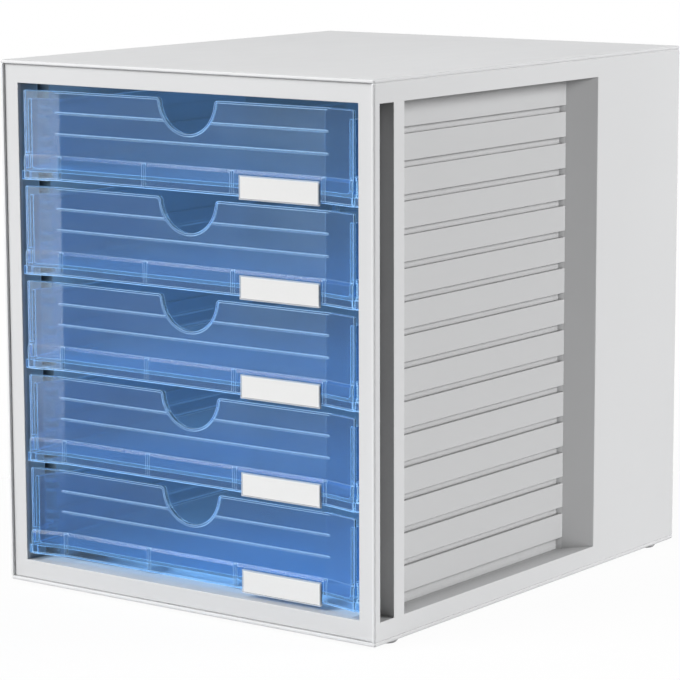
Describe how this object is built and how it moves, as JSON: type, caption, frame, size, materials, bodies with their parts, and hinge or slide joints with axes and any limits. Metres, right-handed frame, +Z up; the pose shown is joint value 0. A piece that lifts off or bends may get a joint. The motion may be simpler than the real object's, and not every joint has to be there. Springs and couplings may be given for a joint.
{
  "type": "desktop drawer organizer",
  "caption": "Light grey moulded desktop housing with slatted side recesses and translucent blue drawers that slide out of the front, each with a finger notch and a label holder.",
  "frame": {"origin": "on the desk, under the middle of the housing", "axes": "+Z up, -Y out of the front that the drawers open towards, +X to the right seen from the front"},
  "size_m": [0.275, 0.33, 0.32],
  "materials": {
    "housing_grey": "fine moulded texture",
    "frame_grey": "fine moulded texture",
    "drawer_blue": "smooth translucent",
    "label_clear": "clear polished",
    "label_white": "white card",
    "foot_rubber": "matt grey"
  },
  "bodies": {
    "housing": {"top_panel": "housing_grey", "bottom_panel": "housing_grey", "left_side_panel": "housing_grey", "right_side_panel": "housing_grey", "rear_panel": "housing_grey", "front_frame": "frame_grey", "front_left_foot": "foot_rubber", "front_right_foot": "foot_rubber", "rear_left_foot": "foot_rubber", "rear_right_foot": "foot_rubber"},
    "drawer_1_body": {"drawer_1": "drawer_blue", "label_holder_1": "label_clear", "label_card_1": "label_white"},
    "drawer_2_body": {"drawer_2": "drawer_blue", "label_holder_2": "label_clear", "label_card_2": "label_white"},
    "drawer_3_body": {"drawer_3": "drawer_blue", "label_holder_3": "label_clear", "label_card_3": "label_white"},
    "drawer_4_body": {"drawer_4": "drawer_blue", "label_holder_4": "label_clear", "label_card_4": "label_white"},
    "drawer_5_body": {"drawer_5": "drawer_blue", "label_holder_5": "label_clear", "label_card_5": "label_white"}
  },
  "joints": [
    {"name": "drawer_1_slide", "type": "slide", "parent": "housing", "child": "drawer_1_body", "axis": [0, -1, 0], "range_m": [0, 0.23]},
    {"name": "drawer_2_slide", "type": "slide", "parent": "housing", "child": "drawer_2_body", "axis": [0, -1, 0], "range_m": [0, 0.23]},
    {"name": "drawer_3_slide", "type": "slide", "parent": "housing", "child": "drawer_3_body", "axis": [0, -1, 0], "range_m": [0, 0.23]},
    {"name": "drawer_4_slide", "type": "slide", "parent": "housing", "child": "drawer_4_body", "axis": [0, -1, 0], "range_m": [0, 0.23]},
    {"name": "drawer_5_slide", "type": "slide", "parent": "housing", "child": "drawer_5_body", "axis": [0, -1, 0], "range_m": [0, 0.23]}
  ]
}
